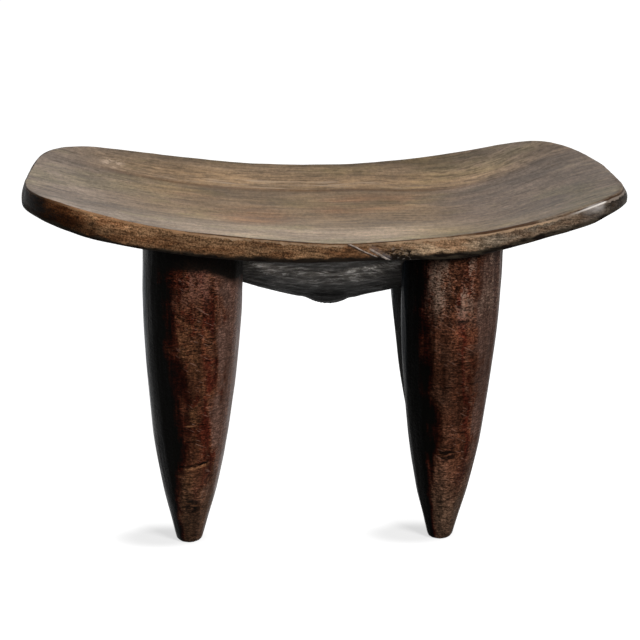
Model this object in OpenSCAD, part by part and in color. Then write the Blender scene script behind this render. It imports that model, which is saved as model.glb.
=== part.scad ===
// Low four-legged stool carved from one log: a saddle seat, a shallow belly under it and four pointed legs.
// Millimetres, +Z up. X runs along the seat, -Y is the front. The origin is on the floor, under the seat's middle.
// The carved members meet face to face, as the wood runs through them.

/* [Seat] */
// Length of the seat from end to end
seat_w = 604; // [480:2:720]
// Depth of the seat from front to back
seat_d = 340; // [310:2:400]
// Height of the seat's long edges above the floor, at mid-length
rim_z = 342; // [300:1:400]
// Rise of the seat's ends above its mid-length
end_rise = 45; // [20:1:70]
// Depth of the dish across the seat, below its long edges
dish_depth = 12; // [6:1:20]
// Thickness of the long edges
edge_t = 18.5; // [14:0.5:24]
// Thickness of the seat along its centre line, at mid-length
mid_t = 26.5; // [24:0.5:34]
// Thickness of the seat along its centre line, at its ends
end_t = 28.5; // [24:0.5:36]
// Distance of the seat's longest line in front of its centre line
long_line_y = 25; // [0:1:40]

/* [Seat corners] */
// Squareness of the front left corner, towards the edge and towards the end, where 2 is an ellipse
front_left_square = [2.6, 2.6]; // [2.2:0.1:7]
// Squareness of the front right corner, towards the edge and towards the end
front_right_square = [5.5, 5.5]; // [2.2:0.1:7]
// Squareness of the rear left corner, towards the edge and towards the end
rear_left_square = [4.4, 4.4]; // [2.2:0.1:7]
// Squareness of the rear right corner, towards the edge and towards the end
rear_right_square = [6.5, 2.5]; // [2.2:0.1:7]

/* [Legs] */
// Distance of a leg's axis in from the seat's end
leg_inset_x = 171.5; // [141.5:1:191.5]
// Distance of a leg's axis in from the seat's long edge
leg_inset_y = 75; // [65:1:95]
// Diameter of a leg where it is thickest
leg_d = 101; // [80:1:116]
// Diameter of a foot
foot_d = 24; // [16:1:40]
// How far below the seat's long edges a leg is thickest
leg_thick_drop = 47; // [40:1:90]
// How far the front left foot stands to the right of its leg's top
front_left_lean = -9.5; // [-16:0.5:16]
// How far the front right foot stands to the right of its leg's top
front_right_lean = -6; // [-16:0.5:16]
// How far the rear left foot stands to the right of its leg's top
rear_left_lean = -2; // [-16:0.5:16]
// How far the rear right foot stands to the right of its leg's top
rear_right_lean = 4; // [-16:0.5:16]

/* [Belly] */
// How far the belly's lowest line hangs below the underside of the seat's long edges
belly_drop = 85; // [75:0.5:95]
// Slope of the belly's front and rear faces, in degrees
belly_slope = 30; // [26:1:34]
// Radius of the belly's rounded crest, seen from the end
crest_r = 60; // [30:5:90]
// Radius of the crest line's curve, seen from the front
crest_bow_r = 240; // [210:5:300]
// Distance of the belly's lowest point and its knob to the right of the middle
belly_x = 8; // [-20:1:20]
// Width of the knob
knob_w = 34; // [20:1:50]
// How far the knob stands below the crest
knob_drop = 6; // [3:0.5:8]

/* [Hidden] */
$fn = 256;
// How far a cutting shape runs past what it cuts
past = 40;
// Straight stretches that draw one corner of the seat's outline
corner_steps = 24;
// Straight stretches that draw the belly's rounded crest, an odd number so that one lies level in the middle
crest_steps = 15;

seat_half = [seat_w / 2, seat_d / 2];
under_rise = end_rise - end_t + mid_t;
under_crown = dish_depth + mid_t - edge_t;
top_z = rim_z + end_rise;
belly_z = rim_z - edge_t - belly_drop;
leg_thick_z = rim_z - leg_thick_drop;
leg_x = seat_half.x - leg_inset_x;
leg_y = seat_half.y - leg_inset_y;
leg_bow_r = arc_radius(leg_thick_z, (leg_d - foot_d) / 2);
knob_r = arc_radius(knob_w / 2, knob_drop);

// Radius of the circle whose arc bows by the given rise over the given half chord.
function arc_radius(half_chord, rise) = (half_chord * half_chord + rise * rise) / (2 * rise);

// A point on one corner of the outline, from the end's longest line at 0 degrees to the long edge at 90.
function corner_point(side, edge, square, a) = [
    side * seat_half.x * pow(cos(a), 2 / square.x),
    edge * (seat_half.y + edge * long_line_y) * pow(sin(a), 2 / square.y) - long_line_y];

// One corner's points, run towards the long edge.
function corner_out(side, edge, square) =
    [for (i = [0 : corner_steps - 1]) corner_point(side, edge, square, 90 * i / corner_steps)];

// One corner's points, run back towards the end.
function corner_back(side, edge, square) =
    [for (i = [corner_steps : -1 : 1]) corner_point(side, edge, square, 90 * i / corner_steps)];

// The seat's outline seen from above, turned anticlockwise from the right end.
module seat_outline() {
    polygon(concat(
        corner_out(1, 1, rear_right_square),
        corner_back(-1, 1, rear_left_square),
        corner_out(-1, -1, front_left_square),
        corner_back(1, -1, front_right_square)));
}

// A drum that lies across the seat. Its lowest line is at mid-length, and its sides bulge by the crown.
module drum(side_z, rise, crown) {
    drum_r = arc_radius(seat_half.x, rise);
    crown_r = arc_radius(seat_half.y, crown);
    translate([0, 0, side_z + drum_r])
        rotate([90, 0, 0])
            rotate_extrude()
                intersection() {
                    translate([drum_r + crown - crown_r, 0])
                        circle(crown_r);
                    translate([0, -seat_half.y - past])
                        square([drum_r + crown, seat_d + 2 * past]);
                }
}

// All that lies above the seat's dished top.
module above_top() {
    drum(rim_z, end_rise, dish_depth);
}

// All that lies above the seat's underside.
module above_underside() {
    drum(rim_z - edge_t, under_rise, under_crown);
}

module seat() {
    color([0.42, 0.33, 0.24])
        difference() {
            intersection() {
                linear_extrude(top_z)
                    seat_outline();
                above_underside();
            }
            above_top();
        }
}

// A whole leg with a bowed outline, thickest at its own height and leaning about that point.
module leg_stock(side, edge, lean) {
    translate([side * leg_x, edge * leg_y, leg_thick_z])
        rotate([0, atan(-lean / leg_thick_z), 0])
            rotate_extrude()
                union() {
                    intersection() {
                        translate([leg_d / 2 - leg_bow_r, 0])
                            circle(leg_bow_r);
                        translate([0, -leg_thick_z - past])
                            square([leg_d / 2, leg_thick_z + past]);
                    }
                    square([leg_d / 2, top_z - leg_thick_z]);
                }
}

// The leg as it stands: its foot cut flat on the floor and its top shaped to the seat's underside.
module leg(side, edge, lean) {
    color([0.27, 0.13, 0.09])
        difference() {
            leg_stock(side, edge, lean);
            above_underside();
            translate([side * leg_x, edge * leg_y, -past])
                cube([2 * leg_d, 2 * leg_d, 2 * past], center = true);
        }
}

module leg_front_left() {
    leg(-1, -1, front_left_lean);
}

module leg_front_right() {
    leg(1, -1, front_right_lean);
}

module leg_rear_left() {
    leg(-1, 1, rear_left_lean);
}

module leg_rear_right() {
    leg(1, 1, rear_right_lean);
}

// The belly's section seen from the end: two slopes that meet in a rounded crest, above the crest's lowest point.
module belly_section() {
    face_l = seat_d;
    touch = [crest_r * sin(belly_slope), crest_r * (1 - cos(belly_slope))];
    edge = touch + face_l * [cos(belly_slope), sin(belly_slope)];
    crest = [for (i = [0 : crest_steps])
        let (a = belly_slope * (2 * i / crest_steps - 1))
        [crest_r * sin(a), crest_r * (1 - cos(a))]];
    polygon(concat([[-edge.x, edge.y]], crest, [[edge.x, edge.y]]));
}

// The bowed trough that the section makes when it is turned about a line across the stool, above the crest.
module belly_bowl() {
    translate([belly_x, 0, belly_z + crest_bow_r])
        rotate([90, 0, 0])
            rotate_extrude()
                intersection() {
                    translate([crest_bow_r, 0])
                        rotate([0, 0, 90])
                            belly_section();
                    translate([0, -seat_half.y])
                        square([crest_bow_r, seat_d]);
                }
}

module belly() {
    color([0.19, 0.17, 0.16])
        difference() {
            union() {
                belly_bowl();
                translate([belly_x, 0, belly_z - knob_drop + knob_r])
                    sphere(knob_r);
            }
            above_underside();
            leg_stock(-1, -1, front_left_lean);
            leg_stock(1, -1, front_right_lean);
            leg_stock(-1, 1, rear_left_lean);
            leg_stock(1, 1, rear_right_lean);
        }
}

seat();
belly();
leg_front_left();
leg_front_right();
leg_rear_left();
leg_rear_right();
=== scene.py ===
"""Dresses a low stool that is carved from one log: a saddle seat, a shallow belly and four pointed legs.

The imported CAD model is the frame. Each carved piece stands for its own CAD node. Metres, +Z up, with X along
the seat and -Y at the front.
"""

import math

import bmesh
import bpy
import numpy as np
from bpy.props import FloatProperty, FloatVectorProperty, IntProperty, PointerProperty
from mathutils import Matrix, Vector, noise


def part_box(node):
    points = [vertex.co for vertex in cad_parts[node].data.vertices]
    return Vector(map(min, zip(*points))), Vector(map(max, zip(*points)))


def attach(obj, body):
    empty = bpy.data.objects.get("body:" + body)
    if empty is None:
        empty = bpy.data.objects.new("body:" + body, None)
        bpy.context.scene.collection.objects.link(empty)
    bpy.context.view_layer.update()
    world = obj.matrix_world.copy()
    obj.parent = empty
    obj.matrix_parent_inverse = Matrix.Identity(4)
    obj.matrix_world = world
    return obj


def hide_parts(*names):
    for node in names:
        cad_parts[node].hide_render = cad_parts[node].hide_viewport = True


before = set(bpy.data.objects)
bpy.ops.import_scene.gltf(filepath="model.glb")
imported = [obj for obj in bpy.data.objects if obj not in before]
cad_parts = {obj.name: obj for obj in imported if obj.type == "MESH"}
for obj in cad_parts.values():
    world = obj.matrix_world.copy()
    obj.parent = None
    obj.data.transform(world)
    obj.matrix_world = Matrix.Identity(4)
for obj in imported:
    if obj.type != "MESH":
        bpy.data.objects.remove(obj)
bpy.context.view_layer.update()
seat_low, seat_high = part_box("seat")

bl_info = {
    "name": "Carved saddle stool",
    "version": (1, 0, 0),
    "blender": (4, 5, 0),
    "location": "3D View > Sidebar > Stool",
    "description": "Carves the seat, belly and legs of a low wooden stool over its CAD frame",
    "category": "Object",
}


def size(name, description, metres):
    """A length that a user may change."""
    return FloatProperty(name=name, description=description, default=metres, unit="LENGTH", precision=4)


def number(name, description, value):
    """A plain number that a user may change."""
    return FloatProperty(name=name, description=description, default=value, precision=3)


def power(name, description, watts):
    """A lamp's power that a user may change."""
    return FloatProperty(name=name, description=description, default=watts, unit="POWER")


def tint(name, description, colour):
    """A colour that a user may change, in linear values."""
    return FloatVectorProperty(name=name, description=description, default=colour, subtype="COLOR", size=3,
                               min=0, max=1)


def corner(name, values):
    """How square a corner of the seat is, towards the edge and towards the end. 2 is an ellipse."""
    return FloatVectorProperty(name=name, description="Towards the edge and the end, where 2 is an ellipse",
                               default=values, size=2, min=1.5, max=12)


class SeatForm(bpy.types.PropertyGroup):
    """Sizes of the saddle seat."""

    length: size("Length", "From end to end", seat_high.x - seat_low.x)
    depth: size("Depth", "From front to back", seat_high.y - seat_low.y)
    rim_height: size("Rim height", "Height of the long edges at mid-length", 0.342)
    end_rise: size("End rise", "Rise of the ends above mid-length", 0.045)
    dish: size("Dish", "Depth of the dish across the seat", 0.012)
    edge_thickness: size("Edge thickness", "Thickness of the long edges", 0.0185)
    under_rise: size("Underside rise", "Rise of the underside's ends above mid-length", 0.043)
    under_crown: size("Underside crown", "How far the underside bulges down across the seat", 0.020)
    long_line: size("Longest line", "Distance of the longest line in front of the centre line", 0.025)
    front_left: corner("Front left squareness", (2.5, 2.65))
    front_right: corner("Front right squareness", (5.5, 4.9))
    rear_left: corner("Rear left squareness", (5.0, 3.9))
    rear_right: corner("Rear right squareness", (7.9, 1.65))
    crease_radius: size("Crease radius", "Rounding of the worn crease between top and lip", 0.0024)
    hem_radius: size("Hem radius", "Rounding between the lip and the underside", 0.0060)
    left_flare: size("Left flare", "How far the left end's wall leans out below the crease", 0.0034)
    right_flare: size("Right flare", "How far the right end's wall leans out below the crease", 0.0044)
    end_thinning: size("End thinning", "How much thinner the lip is at the ends", 0.0035)
    right_thinning: size("Right thinning", "How much thinner still the lip is at the right end", 0.0050)
    right_lift: size("Right lift", "Extra rise near the right end", 0.0040)
    left_lift: size("Left lift", "Extra rise at the left end", 0.0010)
    hem_swell: size("Hem swell", "How much thicker the front lip is above the right leg", 0.0038)
    brow_lift: size("Brow lift", "Extra height of the front edge, left of the middle", 0.0044)
    front_swell: size("Front swell", "How far the front edge swells right of the middle", 0.0065)
    cut_depth: size("Cut depth", "Depth of the adze cuts on the underside", 0.0012)


class SeatColours(bpy.types.PropertyGroup):
    """Colours of the seat's wood."""

    # The pale strip along the front is partly wear and partly a painted sheen.
    pale: tint("Pale wear", "Pale strip along the front, and gleams at the rear", (0.475, 0.360, 0.262))
    olive: tint("Olive wood", "Band behind the pale strip", (0.335, 0.245, 0.165))
    brown: tint("Grey brown wood", "Main colour of the top", (0.280, 0.192, 0.118))
    shade: tint("Dark band", "Dark line in front of the ochre band", (0.170, 0.092, 0.044))
    ochre: tint("Ochre wood", "Bright band along the rear", (0.375, 0.245, 0.138))
    film: tint("Grey film", "Weathered film near the ends", (0.262, 0.208, 0.168))
    lip: tint("Lip wood", "Main colour of the lip", (0.186, 0.103, 0.052))
    scar: tint("Scar", "Pale streaks of the healed crack", (0.740, 0.620, 0.540))
    # Soot also stands for painted shade at the lip's left end and under the seat's edge.
    soot: tint("Soot", "Old smoke on the left end and the underside", (0.006, 0.004, 0.003))
    chips: tint("Chips", "Pale chips at the rear left", (0.56, 0.41, 0.30))
    seam: tint("Seam", "Dark line along the front of the crease", (0.062, 0.031, 0.017))
    # Crease shine is a painted highlight.
    shine: tint("Crease shine", "Bright stretch of the crease at the right end", (0.86, 0.80, 0.74))
    # The rubbed facet's pale grey is partly a painted highlight.
    facet: tint("Rubbed facet", "Grey facet at the right end of the lip", (0.310, 0.282, 0.264))
    # The lip's left end streaks are a painted grey sheen.
    end_sheen_streaks: tint("End streaks", "Grey streaks on the lip's left end", (0.060, 0.063, 0.062))
    # The hem's near black is partly painted shade, darker still at mid-length.
    hem: tint("Hem", "Wood that shows through the soot below the lip", (0.046, 0.036, 0.025))
    shaded_hem_middle: tint("Middle of the hem", "The same wood at mid-length", (0.018, 0.013, 0.009))
    swirl: tint("Swirls", "Grey wood in the dark patch beside the crack", (0.20, 0.175, 0.155))
    haze: tint("Crack haze", "Grey wood above the crack's second scar", (0.105, 0.092, 0.095))


class BellyForm(bpy.types.PropertyGroup):
    """Sizes of the belly under the seat."""

    crest_height: size("Crest height", "Height of the belly's lowest line", 0.2385)
    slope: FloatProperty(name="Slope", description="Slope of the front and rear faces",
                         default=math.radians(30), subtype="ANGLE")
    crest_radius: size("Crest radius", "Rounding of the crest, seen from the end", 0.060)
    bow_radius: size("Bow radius", "Radius of the crest line, seen from the front", 0.240)
    offset: size("Offset", "Distance of the crest's lowest point to the right of the middle", 0.008)
    knob_x: size("Knob offset", "Distance of the knob to the right of the middle", 0.0095)
    knob_height: size("Knob height", "Height of the knob's lowest point", 0.2315)
    knob_radius: size("Knob radius", "Radius of the knob's round bottom", 0.038)
    cut_depth: size("Cut depth", "Depth of the adze cuts", 0.0010)


class BellyColours(bpy.types.PropertyGroup):
    """Colours of the belly's smoked wood."""

    char: tint("Smoked wood", "Main colour", (0.075, 0.068, 0.060))
    bare: tint("Scraped wood", "Light tool streaks", (0.215, 0.205, 0.195))
    soot: tint("Soot", "Darkest wood", (0.014, 0.012, 0.010))


class LegForm(bpy.types.PropertyGroup):
    """Sizes of the four pointed legs."""

    spread_x: size("Spread along", "Distance of a leg's axis from the middle, along the seat", 0.1305)
    spread_y: size("Spread across", "Distance of a leg's axis from the middle, across the seat", 0.095)
    thick: size("Thickness", "Diameter where a leg is thickest", 0.101)
    foot: size("Foot", "Diameter of a foot", 0.024)
    thick_height: size("Thickest height", "Height at which a leg is thickest", 0.295)
    top_height: size("Top height", "Mean height of a leg's top inside the seat", 0.330)
    foot_round: size("Foot rounding", "Rounding of the worn foot", 0.004)
    spare: size("Spare", "Wood left on the radius for the facets and scoops to take away", 0.0010)
    facets: IntProperty(name="Facets", description="Long facets round a leg", default=11, min=5)
    facet_share: number("Facet share", "How flat the facets are, from 0, round, to 1, flat", 0.38)
    scoop_depth: size("Scoop depth", "Depth of the short adze scoops", 0.0007)
    low_swell: size("Low swell", "How much thicker the radius is a little above the foot", 0.0012)


class LegColours(bpy.types.PropertyGroup):
    """Colours of the legs' wood."""

    mahogany: tint("Red brown wood", "Main colour", (0.082, 0.029, 0.0150))
    ember: tint("Bright wood", "Bright streaks along the left legs", (0.140, 0.062, 0.029))
    ember_right: tint("Bright wood, right", "Bright streaks along the right legs", (0.104, 0.047, 0.028))
    wine: tint("Dark red wood", "Dark streaks along the left legs", (0.048, 0.0085, 0.0045))
    wine_right: tint("Dark red wood, right", "Dark streaks along the right legs", (0.050, 0.018, 0.010))
    film: tint("Grey film", "Rubbed film on the flanks", (0.084, 0.045, 0.033))
    # Dust near the legs' tops is partly a painted highlight.
    dust: tint("Dust", "Dust near the top of the left legs", (0.165, 0.074, 0.052))
    dust_and_sheen_right: tint("Dust, right", "Dust near the top of the right legs", (0.230, 0.156, 0.115))
    foot: tint("Worn foot", "Worn wood at the left feet", (0.063, 0.034, 0.020))
    foot_right: tint("Worn foot, right", "Worn wood at the right feet", (0.078, 0.047, 0.030))
    # A painted reflection: a cool line along the left edge of the flanks.
    polish: tint("Polish", "Cool line of worn soot along the left edge of the flanks", (0.105, 0.140, 0.180))
    # Soot also stands for painted shade: on the flanks that face left, and the seat's shadow on the legs'
    # tops.
    soot: tint("Soot", "Old smoke on the flanks that face left", (0.0025, 0.0022, 0.0018))


class StudioSetup(bpy.types.PropertyGroup):
    """Camera, lamps and floor."""

    lens: FloatProperty(name="Lens", description="Focal length on a 36 mm sensor", default=99.47,
                        unit="CAMERA")
    key_power: power("Key power", "Power of the main soft lamp", 82.0)
    top_power: power("Top power", "Power of the lamp overhead", 14.0)
    fill: number("Fill", "Strength of the even light from all round", 0.08)
    paper: number("Paper", "Whiteness that the floor is seen with, away from the feet", 1.0)
    tread: number("Tread", "Whiteness that the floor is seen with, beside the feet", 0.68)


class StoolSettings(bpy.types.PropertyGroup):
    """Everything that a user may change on the stool."""

    seat: PointerProperty(type=SeatForm, name="Seat", description="Sizes of the seat")
    seat_colours: PointerProperty(type=SeatColours, name="Seat colours", description="Colours of the seat")
    belly: PointerProperty(type=BellyForm, name="Belly", description="Sizes of the belly")
    belly_colours: PointerProperty(type=BellyColours, name="Belly colours",
                                   description="Colours of the belly")
    legs: PointerProperty(type=LegForm, name="Legs", description="Sizes of the legs")
    leg_colours: PointerProperty(type=LegColours, name="Leg colours", description="Colours of the legs")
    studio: PointerProperty(type=StudioSetup, name="Studio", description="Camera, lamps and floor")


class Wiring:
    """Builds a node tree in short steps. A value may be a number, a tuple or another node's output."""

    def __init__(self, tree):
        self.tree = tree

    def feed(self, socket, value):
        """Links an output to the socket, or writes a plain value on it."""
        if isinstance(value, bpy.types.NodeSocket):
            self.tree.links.new(value, socket)
        else:
            socket.default_value = value

    def node(self, kind, values=None, **settings):
        """Adds one node, with its settings and the values of its inputs by name or number."""
        made = self.tree.nodes.new(kind)
        for key, setting in settings.items():
            setattr(made, key, setting)
        for key, value in (values or {}).items():
            self.feed(made.inputs[key], value)
        return made

    def math(self, operation, *values, clamp=False):
        """One step of arithmetic."""
        made = self.node("ShaderNodeMath", dict(enumerate(values)), operation=operation, use_clamp=clamp)
        return made.outputs[0]

    def vector(self, operation, *values):
        """One step of arithmetic on vectors or colours."""
        made = self.node("ShaderNodeVectorMath", dict(enumerate(values)), operation=operation)
        single = operation in ("DOT_PRODUCT", "LENGTH", "DISTANCE")
        return made.outputs["Value" if single else "Vector"]

    def scale(self, colour, factor):
        """A vector or colour times a number."""
        made = self.node("ShaderNodeVectorMath", {0: colour, 3: factor}, operation="SCALE")
        return made.outputs["Vector"]

    def parts(self, vector):
        """The three parts of a vector."""
        return self.node("ShaderNodeSeparateXYZ", {0: vector}).outputs[:]

    def join(self, x, y, z):
        """A vector from its three parts."""
        return self.node("ShaderNodeCombineXYZ", {0: x, 1: y, 2: z}).outputs[0]

    def noise(self, place, stretch, detail=3.0, rough=0.55, warp=0.0, colour=False):
        """Soft noise from 0 to 1, with 'stretch' features to the metre each way."""
        at = self.vector("MULTIPLY", place, stretch)
        made = self.node("ShaderNodeTexNoise", {"Vector": at, "Scale": 1.0, "Detail": detail,
                                                "Roughness": rough, "Distortion": warp})
        return made.outputs[1 if colour else 0]

    def cells(self, place, stretch):
        """Distance to the middle of the nearest cell, with 'stretch' cells to the metre each way."""
        at = self.vector("MULTIPLY", place, stretch)
        return self.node("ShaderNodeTexVoronoi", {"Vector": at, "Scale": 1.0}, feature="F1").outputs[0]

    def span(self, value, low, high, start=0.0, end=1.0, soft=True):
        """Takes the range from low to high to the range from start to end, and holds it there outside."""
        made = self.node("ShaderNodeMapRange", {0: value, 1: low, 2: high, 3: start, 4: end},
                         interpolation_type="SMOOTHSTEP" if soft else "LINEAR")
        return made.outputs[0]

    def mottle(self, pattern, dark, light, low=0.38, high=0.62):
        """A factor that goes evenly from dark to light over the values that a noise mostly has."""
        return self.span(pattern, low, high, dark, light, soft=False)

    def swing(self, pattern, width):
        """A noise that swings to both sides of 0, over the width from end to end."""
        return self.times(self.less(pattern, 0.5), width)

    def ramp(self, value, stops):
        """A colour ramp through the given places and colours."""
        made = self.node("ShaderNodeValToRGB", {0: value})
        ramp = made.color_ramp
        while len(ramp.elements) < len(stops):
            ramp.elements.new(0.5)
        for element, (place, colour) in zip(ramp.elements, stops):
            element.position = place
            element.color = (*colour, 1.0)
        return made.outputs[0]

    def mix(self, share, one, other):
        """One colour passing to the other as the share goes from 0 to 1."""
        one = (*one, 1.0) if isinstance(one, tuple) else one
        other = (*other, 1.0) if isinstance(other, tuple) else other
        made = self.node("ShaderNodeMix", {0: share, 6: one, 7: other}, data_type="RGBA")
        return made.outputs[2]

    def spot(self, place, centre, reach, inner=0.35):
        """1 at a place and 0 beyond its reach each way. A reach of 0 sets no limit that way."""
        apart = self.vector("SUBTRACT", place, centre)
        shares = tuple(1 / way if way else 0.0 for way in reach)
        away = self.vector("LENGTH", self.vector("MULTIPLY", apart, shares))
        return self.span(away, inner, 1.0, 1.0, 0.0)

    def tinge(self, colour, factors):
        """A colour whose red, green and blue are each multiplied by their own factor."""
        return self.vector("MULTIPLY", colour, factors)

    def darken(self, colour, share):
        """A colour that loses a share of its light."""
        return self.scale(colour, self.less(1.0, share))

    def times(self, *values):
        """The product of several numbers."""
        product = values[0]
        for value in values[1:]:
            product = self.math("MULTIPLY", product, value)
        return product

    def total(self, *values):
        """The sum of several numbers."""
        amount = values[0]
        for value in values[1:]:
            amount = self.math("ADD", amount, value)
        return amount

    def less(self, value, other):
        """The first number less the second."""
        return self.math("SUBTRACT", value, other)

    def mark(self, name):
        """A number or vector that the mesh carries under that name."""
        return self.node("ShaderNodeAttribute", attribute_name=name)


def plain(colour):
    """A colour property as a tuple."""
    return tuple(colour)


def dim(colour, factor):
    """A colour property or tuple made darker, or lighter where the factor is above 1, as a tuple."""
    return tuple(part * factor for part in colour)


def wood_material(name):
    """An empty wood material: its wiring, its shader and its place on the object."""
    material = bpy.data.materials.new(name)
    material.use_nodes = True
    material.node_tree.nodes.clear()
    wiring = Wiring(material.node_tree)
    shader = wiring.node("ShaderNodeBsdfPrincipled")
    output = wiring.node("ShaderNodeOutputMaterial")
    wiring.feed(output.inputs["Surface"], shader.outputs[0])
    place = wiring.node("ShaderNodeTexCoord").outputs["Object"]
    return material, wiring, shader, place


def relief(wiring, height, depth, strength):
    """Bump from a height that goes from 0 to about 1, in metres of depth."""
    made = wiring.node("ShaderNodeBump", {"Height": height, "Distance": depth, "Strength": strength})
    return made.outputs[0]


# In the woods below, x, y and z are places in metres, so w.span(x, 0.10, 0.16) goes from 0 to 1 along the
# seat between 100 and 160 mm right of the middle. 'over' is the way run from the crease down the lip, less
# than 0 on the top.


def banded_top(w, place, look):
    """The seat's top: soft bands from the front edge to the rear one, mottled patches, grain and chips."""
    x, y, _ = w.parts(place)
    pale, brown, ochre, film = plain(look.pale), plain(look.brown), plain(look.ochre), plain(look.film)

    # The grain drifts as it runs along the log, and the bands bow towards the front right of the middle.
    drift = w.vector("SUBTRACT", w.noise(place, (4.0, 11.0, 11.0), detail=4, colour=True), (0.5, 0.5, 0.5))
    bow = w.span(w.math("ABSOLUTE", w.less(x, 0.155)), 0.0, 0.115, 0.032, 0.0)
    bent = w.vector("ADD", place, w.vector("MULTIPLY", drift, (0.0, 0.026, 0.026)))
    bent = w.vector("ADD", bent, w.join(0.0, bow, 0.0))
    across = w.parts(bent)[1]
    streaks = w.noise(bent, (7.0, 60.0, 60.0), detail=5, rough=0.64)
    threads = w.noise(bent, (15.0, 150.0, 150.0), detail=4, rough=0.64)
    flecks = w.noise(place, (75.0, 110.0, 75.0), detail=5, rough=0.72)
    grain = w.noise(place, (270.0, 105.0, 270.0), detail=4, rough=0.75)
    clouds = w.noise(place, (10.0, 19.0, 19.0), detail=4, rough=0.62)
    hues = w.noise(place, (9.0, 15.0, 15.0), detail=4, rough=0.62)
    # The pale front strip of the bands is partly a painted sheen.
    top = w.ramp(w.span(across, -0.17, 0.17, soft=False), [
        (0.00, pale), (0.21, pale), (0.30, plain(look.olive)), (0.42, brown), (0.64, brown),
        (0.720, dim(brown, 0.90)), (0.743, plain(look.shade)), (0.768, dim(ochre, 0.92)), (0.81, ochre),
        (0.87, dim(ochre, 0.88)), (0.925, dim(brown, 0.94)), (0.985, dim(brown, 0.66))])

    # Smoke greys the left end, the front right of the middle is browner, and a film covers the right end.
    left = w.total(x, w.times(y, 0.25))
    smoky = w.times(w.span(y, 0.030, 0.120, 1.0, 0.80), w.span(left, -0.270, -0.165, 1.08, 0.74),
                    w.span(y, -0.120, -0.080, 1.25, 1.0))
    top = w.mix(w.span(left, -0.280, -0.105, 0.90, 0.0), top, w.scale(film, smoky))
    browned = w.times(w.span(x, 0.050, 0.130), w.span(across, -0.105, -0.060, 1.0, 0.0))
    top = w.mix(browned, top, w.tinge(top, (0.70, 0.68, 0.56)))
    filmed = w.times(w.span(x, 0.100, 0.165), w.span(across, 0.070, 0.096, 1.0, 0.0),
                     w.span(y, -0.135, -0.075, 0.40, 0.90))
    top = w.mix(filmed, top, w.tinge(film, (0.80, 0.74, 0.70)))
    top = w.mix(w.span(x, 0.110, 0.250, 0.0, 0.72), top, dim(film, 0.86))

    # Reddish patches in the middle, and olive ones where the noise is low.
    red = w.spot(place, (0.045, 0.022, 0.0), (0.085, 0.050, 0.0), 0.3)
    for centre, reach in (((-0.072, -0.030, 0.0), (0.060, 0.060, 0.0)),
                          ((-0.150, 0.045, 0.0), (0.060, 0.028, 0.0))):
        red = w.math("MAXIMUM", red, w.times(w.spot(place, centre, reach, 0.3), 0.8))
    red = w.times(red, w.span(hues, 0.40, 0.58, 0.35, 1.0))
    top = w.mix(red, top, w.tinge(top, (1.11, 0.91, 0.82)))
    top = w.mix(w.span(hues, 0.36, 0.50, 0.8, 0.0), top, w.tinge(top, (0.95, 1.00, 0.88)))

    # Grain, pores, dark dashes towards the rear, pale gleams in the ochre band and chips at the rear left.
    top = w.scale(top, w.times(w.mottle(flecks, 0.90, 1.10), w.mottle(grain, 0.84, 1.16),
                               w.mottle(threads, 0.86, 1.14), w.mottle(streaks, 0.80, 1.20),
                               w.mottle(clouds, 0.79, 1.21, 0.36, 0.64)))
    pores = w.span(w.noise(bent, (20.0, 260.0, 260.0), detail=2, rough=0.5), 0.60, 0.66)
    top = w.darken(top, w.times(pores, 0.30))
    dashes = w.span(w.noise(bent, (55.0, 150.0, 55.0), detail=3, rough=0.6), 0.53, 0.62)
    top = w.darken(top, w.times(dashes, w.span(across, 0.060, 0.110, 0.10, 0.30)))
    gleams = w.span(w.noise(bent, (13.0, 200.0, 200.0), detail=3, rough=0.6), 0.52, 0.62)
    gleams = w.times(gleams, w.spot(bent, (-0.03, 0.100, 0.0), (0.200, 0.024, 0.0)))
    top = w.mix(w.times(gleams, 0.55), top, dim(pale, 1.12))
    chips = w.span(w.noise(place, (115.0, 75.0, 115.0), detail=4, rough=0.7), 0.47, 0.56, 0.12, 1.0)
    chips = w.times(chips, w.spot(place, (-0.224, 0.108, 0.0), (0.017, 0.024, 0.0)))
    top = w.mix(w.times(chips, 0.9), top, plain(look.chips))
    return top, w.total(w.times(streaks, 0.6), w.times(flecks, 0.35))


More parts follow.
